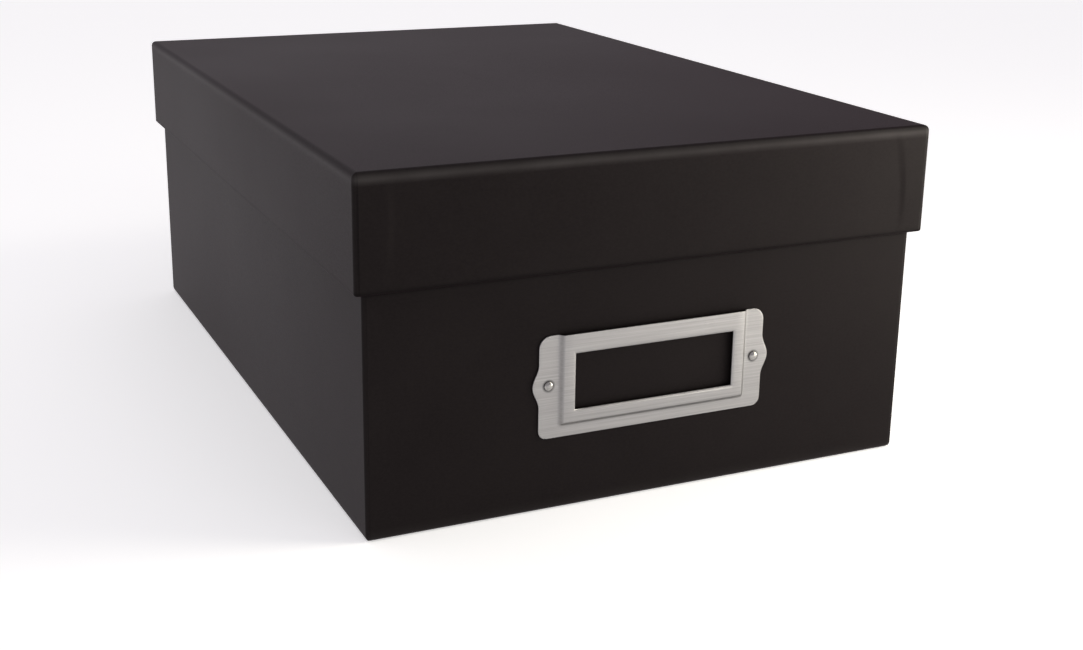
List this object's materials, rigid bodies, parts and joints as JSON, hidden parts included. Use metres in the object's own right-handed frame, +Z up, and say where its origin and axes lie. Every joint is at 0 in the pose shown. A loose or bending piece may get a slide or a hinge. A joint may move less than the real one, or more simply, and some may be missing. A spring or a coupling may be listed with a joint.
{
  "type": "archival box",
  "caption": "Paper-covered board storage box with a full lift-off lid and a riveted metal label holder on one short side.",
  "frame": {"origin": "centre of the footprint, on the surface the box stands on", "axes": "+X to the right along the short side seen from the front, -Y out of the front with the label holder, +Z up"},
  "size_m": [0.1982, 0.2846, 0.1143],
  "materials": {
    "wrap_paper": "satin",
    "box_board": "matte",
    "stay_paper": "matte",
    "lining_paper": "matte",
    "holder_steel": "satin",
    "rivet_steel": "satin",
    "washer_zinc": "satin"
  },
  "bodies": {
    "base": {"base_board": "box_board", "base_corner_stay_front_left": "stay_paper", "base_corner_stay_front_right": "stay_paper", "base_corner_stay_back_left": "stay_paper", "base_corner_stay_back_right": "stay_paper", "base_wrap": "wrap_paper", "base_liner": "lining_paper", "label_holder": "holder_steel", "rivet_left": "rivet_steel", "rivet_right": "rivet_steel", "washer_left": "washer_zinc", "washer_right": "washer_zinc"},
    "lid": {"lid_board": "box_board", "lid_corner_stay_front_left": "stay_paper", "lid_corner_stay_front_right": "stay_paper", "lid_corner_stay_back_left": "stay_paper", "lid_corner_stay_back_right": "stay_paper", "lid_wrap": "wrap_paper", "lid_liner": "lining_paper"}
  },
  "joints": [
    {"name": "lid_lift", "type": "slide", "parent": "base", "child": "lid", "axis": [0, 0, 1], "range_m": [0, 0.16]}
  ]
}
